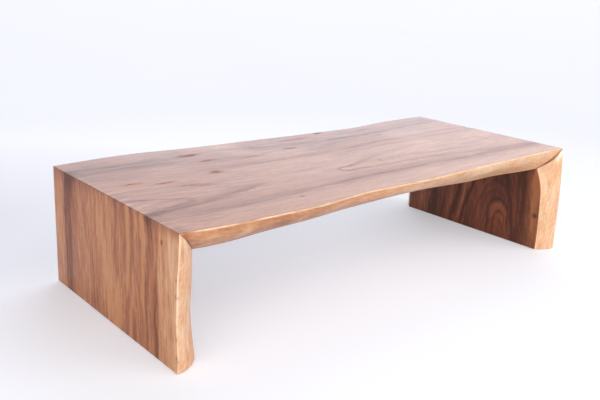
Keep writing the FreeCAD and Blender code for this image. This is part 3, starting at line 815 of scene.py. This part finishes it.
def slab_wood():
    """Hardwood whose colour follows the figure on the vertices, with streaks, fibres and open pores drawn
    out along the grain, a painted highlight along the outer arrises, a dark glue line where two boards meet,
    widened into painted shadow where the right mitre looks open, and a thin satin lacquer."""
    wood = Shader(bpy.data.materials.new("slab_wood"))
    plank = wood.attribute("plank", "Vector")
    along, _, depth = wood.add("SeparateXYZ", {0: plank})
    bend = wood.swing(wood.noise(plank, *BEND), BEND_REACH)
    grain = wood.vector("ADD", plank, wood.combine(y=bend, z=bend))
    broad, stripe, fibre, hue = (wood.noise(grain, *noise) for noise in (BROAD, STRIPE, FIBRE, HUE))
    pores = wood.between(wood.noise(grain, *PORES), *PORE_RANGE)
    rings = wood.noise(wood.combine(wood.attribute("ring"), along), *RINGS)
    down, back = RASP_SLANTS
    slanted = wood.combine(
        wood.total(along, wood.times(depth, down)),
        wood.math("SUBTRACT", depth, wood.times(along, back)),
    )
    rasped = wood.noise(slanted, *RASP)

    lines = wood.total(
        wood.swing(broad, BROAD_DEPTH), wood.swing(rings, RING_DEPTH),
        wood.swing(stripe, STRIPE_DEPTH), wood.swing(fibre, FIBRE_DEPTH),
    )
    lines = wood.total(
        wood.times(lines, wood.attribute("lined")),
        wood.swing(wood.noise(plank, *PATCH), PATCH_DEPTH),
        wood.times(wood.attribute("edge"), wood.swing(rasped, RASP_DEPTH)),
    )
    tone = wood.attribute("tone")
    pale = wood.attribute("pale")
    heart_level = wood.total(wood.times(tone, HEART_TONE), lines, HEART_MIDDLE)
    sap_level = wood.total(
        wood.times(tone, SAP_TONE), wood.times(lines, SAP_LINES), wood.between(pale, *SAP_MIDDLE),
    )
    heart = wood.ramp(heart_level, HEART_STOPS)
    heart = wood.mix(wood.times(wood.attribute("amber"), AMBER_SHARE, clamp=True), heart, AMBER)
    sap = wood.ramp(sap_level, SAP_STOPS)
    frayed = wood.total(wood.attribute("sapwood"), wood.swing(broad, SAP_FRAY))
    in_sapwood = wood.times(wood.between(frayed, *SAP_BORDER), wood.between(pale, *SAP_PALE))
    colour = wood.mix(in_sapwood, heart, sap)
    tint = wood.mix(wood.between(hue, *TINT_RANGE), REDDISH, GOLDEN)
    colour = wood.mix(1.0, colour, tint, "MULTIPLY")
    colour = wood.mix(wood.times(pores, PORE_SHARE), colour, PORE)

    # A mitre's plane is where the place, counted from its outer corner, is as much as the depth.
    past_left = wood.math("ABSOLUTE", wood.math("SUBTRACT", wood.math("ABSOLUTE", along), depth))
    from_right = wood.math("ABSOLUTE", wood.math("SUBTRACT", along, OVERALL_LENGTH))
    past_right = wood.math("ABSOLUTE", wood.math("SUBTRACT", from_right, depth))
    gap = wood.attribute("gap")
    away = wood.math("MINIMUM", past_left, past_right)
    away = wood.math("SUBTRACT", away, wood.times(gap, GAP_WIDTH))
    # The dark glue line of the mitres, widened on the right mitre's live edge into painted shadow.
    glue_and_shadow = wood.times(wood.between(away, *GLUE_BORDER), wood.between(gap, *GLUE_SHARE))

    # The painted highlight along the outer arrises, near-white in the patches, with dark nicks in it on the
    # left leg.
    highlight_level = wood.attribute("highlight_and_patches")
    highlight_and_patches = wood.times(highlight_level, wood.between(fibre, *HIGHLIGHT_FIBRES), clamp=True)
    colour = wood.mix(highlight_and_patches, colour, wood.mix(wood.between(highlight_level, *NEAR_WHITE_RANGE), HIGHLIT_ARRIS, NEAR_WHITE))
    nicks = wood.between(wood.noise(plank, *NICKS), *NICK_RANGE)
    nicks = wood.times(wood.times(nicks, wood.between(along, *NICK_END)), highlight_and_patches)
    colour = wood.mix(nicks, colour, PORE)
    colour = wood.mix(glue_and_shadow, colour, GLUE_LINE_AND_SHADOW)

    rough = wood.total(
        wood.times(wood.attribute("dull"), DULL_SHARE), wood.swing(fibre, FIBRE_ROUGH),
        LACQUER_ROUGH, wood.swing(broad, BROAD_ROUGH),
    )
    relief = wood.math("SUBTRACT", wood.times(fibre, FIBRE_RELIEF), pores)
    wood.fill(wood.surface, {
        "Base Color": colour,
        "Roughness": rough,
        "IOR": LACQUER_IOR,
        "Normal": wood.bump(relief, *RELIEF),
    })
    return wood.owner


SLAB_WOOD = slab_wood()


def top_laid_flat(points):
    """Points of the top as places along and across the plank and depths under its outer face."""
    return points[0] + OVERALL_LENGTH / 2, points[1], TABLE_HEIGHT - points[2]


def top_stood_up(place, across, depth):
    """The points of the top at those places."""
    return place - OVERALL_LENGTH / 2, across, TABLE_HEIGHT - depth


top = board(
    "top_slab", top_laid_flat, top_stood_up,
    start=(0.0, 1, MITRE_ARRIS), end=(OVERALL_LENGTH, -1, MITRE_ARRIS),
    face_step=0.0036, inner_step=0.012, row_step=0.0075,
)
top.data.materials.append(SLAB_WOOD)

# Left leg slab
# The same plank sawn through and folded down at the left end, its sawn foot eased all round. The
# figure of the top's left end runs on down its outer face.
GLIDE_HEIGHT = 0.002
FOOT_PLACE = TABLE_HEIGHT - GLIDE_HEIGHT
FOOT_ARRIS = 0.0022


def left_laid_flat(points):
    """Points of the left leg as places along and across the plank and depths."""
    return points[2] - TABLE_HEIGHT, points[1], points[0] + OVERALL_LENGTH / 2


def left_stood_up(place, across, depth):
    """The points of the left leg at those places."""
    return depth - OVERALL_LENGTH / 2, across, place + TABLE_HEIGHT


left_leg = board(
    "left_leg_slab", left_laid_flat, left_stood_up,
    start=(-FOOT_PLACE, 0, FOOT_ARRIS), end=(0.0, -1, MITRE_ARRIS),
    face_step=0.0036, inner_step=0.008, row_step=0.005,
)
left_leg.data.materials.append(SLAB_WOOD)

# Right leg slab
# The plank's other end, folded down at the right. Its inner face shows from the front left, in the
# shade of the top, and its front live edge is the widest.


def right_laid_flat(points):
    """Points of the right leg as places along and across the plank and depths."""
    return OVERALL_LENGTH + TABLE_HEIGHT - points[2], points[1], OVERALL_LENGTH / 2 - points[0]


def right_stood_up(place, across, depth):
    """The points of the right leg at those places."""
    return OVERALL_LENGTH / 2 - depth, across, OVERALL_LENGTH + TABLE_HEIGHT - place


right_leg = board(
    "right_leg_slab", right_laid_flat, right_stood_up,
    start=(OVERALL_LENGTH, 1, MITRE_ARRIS), end=(OVERALL_LENGTH + FOOT_PLACE, 0, FOOT_ARRIS),
    face_step=0.0045, inner_step=0.0036, row_step=0.005,
)
right_leg.data.materials.append(SLAB_WOOD)

# Loose tenons
# Flat hardwood tenons glued into the mitres, hidden when the table is together. They keep their
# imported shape, with a straight pale grain along their length.
TENONS_IN_MITRE = 6
TENON_STOPS = [(0.25, (0.74, 0.56, 0.37)), (0.60, (0.63, 0.45, 0.28)), (0.85, (0.48, 0.32, 0.19))]
TENON_ROUGH = (0.2, 0.8, 0.55, 0.75)
TENON_RELIEF = (0.00008, 0.6)
# The grain is turned square to the mitre's plane. Its bands and fibres: cells in a metre across the
# grain, beside it and along it, then detail and roughness, and their shares.
TENON_TURN = math.radians(45.0)
TENON_BANDS = ((160.0, 160.0, 9.0), 3.0, 0.6)
TENON_FIBRES = ((900.0, 900.0, 40.0), 2.0, 0.5)
BAND_SHARE = 0.7
FIBRE_SHARE = 0.3


def tenon_wood():
    """Pale straight-grained hardwood, sawn and glued: bands and fibres along the tenon's length."""
    wood = Shader(bpy.data.materials.new("tenon_wood"))
    spot = wood.add("TexCoord")["Object"]
    turned = wood.add("Mapping", {"Vector": spot, "Rotation": (0.0, TENON_TURN, 0.0)})[0]
    bands = wood.noise(turned, *TENON_BANDS)
    fibre = wood.noise(turned, *TENON_FIBRES)
    level = wood.total(wood.times(bands, BAND_SHARE), wood.times(fibre, FIBRE_SHARE))
    wood.fill(wood.surface, {
        "Base Color": wood.ramp(level, TENON_STOPS),
        "Roughness": wood.between(fibre, *TENON_ROUGH),
        "Normal": wood.bump(fibre, *TENON_RELIEF),
    })
    return wood.owner


def finish_node(name, material):
    """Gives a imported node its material, in place of the plain one."""
    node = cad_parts[name]
    node.data.materials.clear()
    node.data.materials.append(material)


TENON_WOOD = tenon_wood()
for hand in ("left", "right"):
    for number in range(1, TENONS_IN_MITRE + 1):
        finish_node(f"{hand}_mitre_tenon_{number}", TENON_WOOD)

# Glides
# Nail-on glides of dark moulded nylon, two under each foot, held by a nail up into the wood. They
# lift the sawn wood 2 mm off the floor.
NYLON_STOPS = [(0.3, (0.040, 0.034, 0.030)), (0.7, (0.062, 0.053, 0.046))]
NYLON_ROUGH = (0.3, 0.7, 0.42, 0.60)
NYLON_RELIEF = (0.00005, 0.5)
# Cells in a metre along each axis, detail, roughness.
NYLON_MOTTLE = ((260.0, 260.0, 260.0), 2.0, 0.5)
NYLON_SCUFFS = ((1400.0, 500.0, 900.0), 3.0, 0.6)


def glide_nylon():
    """Dark moulded nylon: a slightly mottled colour, fine moulding texture and scuffs in the sheen."""
    nylon = Shader(bpy.data.materials.new("glide_nylon"))
    spot = nylon.add("TexCoord")["Object"]
    scuffs = nylon.noise(spot, *NYLON_SCUFFS)
    nylon.fill(nylon.surface, {
        "Base Color": nylon.ramp(nylon.noise(spot, *NYLON_MOTTLE), NYLON_STOPS),
        "Roughness": nylon.between(scuffs, *NYLON_ROUGH),
        "Normal": nylon.bump(scuffs, *NYLON_RELIEF),
    })
    return nylon.owner


GLIDE_NYLON = glide_nylon()
for hand in ("left", "right"):
    for where in ("front", "back"):
        finish_node(f"{hand}_glide_{where}", GLIDE_NYLON)

# Floor
# A plain pale studio floor of matt paint, 60 m across, which the table stands on. Past its edges the
# world's own pale background takes over.
FLOOR_REACH = 30.0
PAINT_ROUGH = 0.9
PAINT_SHEEN = 0.1
PAINT_CLOUDS = ((0.8, 0.8, 0.8), 2.0, 0.5)
PAINT_STOPS = [(0.0, (0.730, 0.724, 0.792)), (1.0, (0.750, 0.744, 0.812))]
# The glow that only the camera and reflections see: its colour, its middle under the table's front, and its
# strengths at two distances from there. Near the table it is stronger, painted light that lifts the table's
# shadow on the floor. Round a place behind the left leg it is less, a painted shadow.
GLOW_COLOUR = (0.895, 0.955, 1.0, 1.0)
GLOW_MIDDLE = (-0.25, -0.35, 0.0)
GLOW_AND_PAINTED_LIGHT = (0.3, 3.5, 0.41, 0.20)
PAINTED_SHADOW_MIDDLE = (-0.9, 1.2, 0.0)
FLOOR_PAINTED_SHADOW = (0.1, 1.5, 0.22, 0.0)


def floor_paint():
    """Pale matt paint with a faint unevenness. It is a little brighter to the camera and in reflections than
    the light on it, as an overexposed white floor is, and lights nothing by that. That brightening is
    painted light near the table, which lifts its shadow, and painted shadow behind the left leg."""
    paint = Shader(bpy.data.materials.new("floor_paint"))
    spot = paint.add("TexCoord")["Object"]
    ray = paint.add("LightPath")
    seen = paint.math("ADD", ray["Is Camera Ray"], ray["Is Glossy Ray"], clamp=True)
    seen = paint.math("ADD", seen, ray["Is Transmission Ray"], clamp=True)
    far, from_painted_shadow = (
        paint.vector("DISTANCE", spot, middle, output="Value") for middle in (GLOW_MIDDLE, PAINTED_SHADOW_MIDDLE)
    )
    # Stronger near the table, painted light lifting its shadow; weaker behind the left leg, a painted
    # shadow.
    glow_and_painted_light = paint.math("SUBTRACT", paint.between(far, *GLOW_AND_PAINTED_LIGHT), paint.between(from_painted_shadow, *FLOOR_PAINTED_SHADOW))
    paint.fill(paint.surface, {
        "Base Color": paint.ramp(paint.noise(spot, *PAINT_CLOUDS), PAINT_STOPS),
        "Roughness": PAINT_ROUGH,
        "Specular IOR Level": PAINT_SHEEN,
        "Emission Color": GLOW_COLOUR,
        "Emission Strength": paint.times(seen, glow_and_painted_light),
    })
    return paint.owner


floor_corners = [(x * FLOOR_REACH, y * FLOOR_REACH, 0) for x, y in ((-1, -1), (1, -1), (1, 1), (-1, 1))]
floor_mesh = bpy.data.meshes.new("floor")
floor_mesh.from_pydata(floor_corners, [], [(0, 1, 2, 3)])
floor_mesh.materials.append(floor_paint())
floor = bpy.data.objects.new("floor", floor_mesh)
bpy.context.collection.objects.link(floor)

# Light
# A white studio under a dim ceiling: even light from the walls, two very large soft windows low in
# front, and a lit white wall behind, which shows as the sheen on the top.
ROOM_LIGHT = (0.42, 0.42, 0.43)
# How the room's light falls from just above the horizon to straight up.
CEILING_FADE = (0.1, 1.0, 1.0, 0.2)
BACKGROUND = (0.945, 0.955, 1.0)
SOFT_LIGHTS = [
    # towards, cosines of the angles from there where it is gone and full, colour
    ((-0.74, -0.56, 0.40), 0.76, 0.92, (2.20, 2.12, 2.00)),
    ((0.42, -0.82, 0.38), 0.76, 0.92, (2.10, 2.04, 1.94)),
    ((0.78, 0.60, 0.17), 0.55, 0.95, (2.26, 2.44, 2.70)),
]


def studio():
    """A world whose light fades towards the ceiling but for soft spots, each brightest towards its
    direction. To the camera it is an even pale background, and reflections show that or brighter."""
    world = bpy.data.worlds.new("studio")
    bpy.context.scene.world = world
    sky = Shader(world, "Background")

    def dimmed(colour, share):
        """A colour times a share."""
        return sky.add("VectorMath", {0: colour, "Scale": share}, operation="SCALE")[0]

    def chosen(seen, first, second):
        """The second light for the rays seen, and the first for the others."""
        return sky.add("Mix", {0: seen, 4: first, 5: second}, data_type="VECTOR")[1]

    look = sky.add("TexCoord")["Generated"]
    upward = sky.add("SeparateXYZ", {0: look})[2]
    light = dimmed(ROOM_LIGHT, sky.between(upward, *CEILING_FADE))
    for towards, gone, full, colour in SOFT_LIGHTS:
        facing = sky.vector("DOT_PRODUCT", look, Vector(towards).normalized(), output="Value")
        spread = sky.add("MapRange", {0: facing, 1: gone, 2: full}, interpolation_type="SMOOTHSTEP")[0]
        light = sky.vector("ADD", light, dimmed(colour, spread))
    ray = sky.add("LightPath")
    reflected = sky.math("MAXIMUM", ray["Is Glossy Ray"], ray["Is Transmission Ray"])
    light = chosen(reflected, light, sky.vector("MAXIMUM", light, BACKGROUND))
    light = chosen(ray["Is Camera Ray"], light, BACKGROUND)
    sky.fill(sky.surface, {"Color": light})


studio()

# Camera
# At the photograph's place, a little above the table and in front of its left end. Its place, turn
# and lens were worked out from the photograph's vanishing lines.
CAMERA_PLACE = (-1.784615, -2.013468, 1.048923)
CAMERA_RIGHT = (0.78092597, -0.62390209, 0.03001359)
CAMERA_DOWN = (-0.15703871, -0.24261572, -0.95732777)
CAMERA_FORWARD = (0.60456056, 0.74288882, -0.28744169)
LENS = 47.64
SENSOR_WIDTH = 36.0
camera_data = bpy.data.cameras.new("camera")
camera_data.lens = LENS
camera_data.sensor_width = SENSOR_WIDTH
camera = bpy.data.objects.new("camera", camera_data)
turned = Matrix((CAMERA_RIGHT, -Vector(CAMERA_DOWN), -Vector(CAMERA_FORWARD))).transposed()
camera.matrix_world = Matrix.Translation(CAMERA_PLACE) @ turned.to_4x4()
bpy.context.collection.objects.link(camera)
bpy.context.scene.camera = camera
bpy.context.scene.view_settings.view_transform = "Standard"
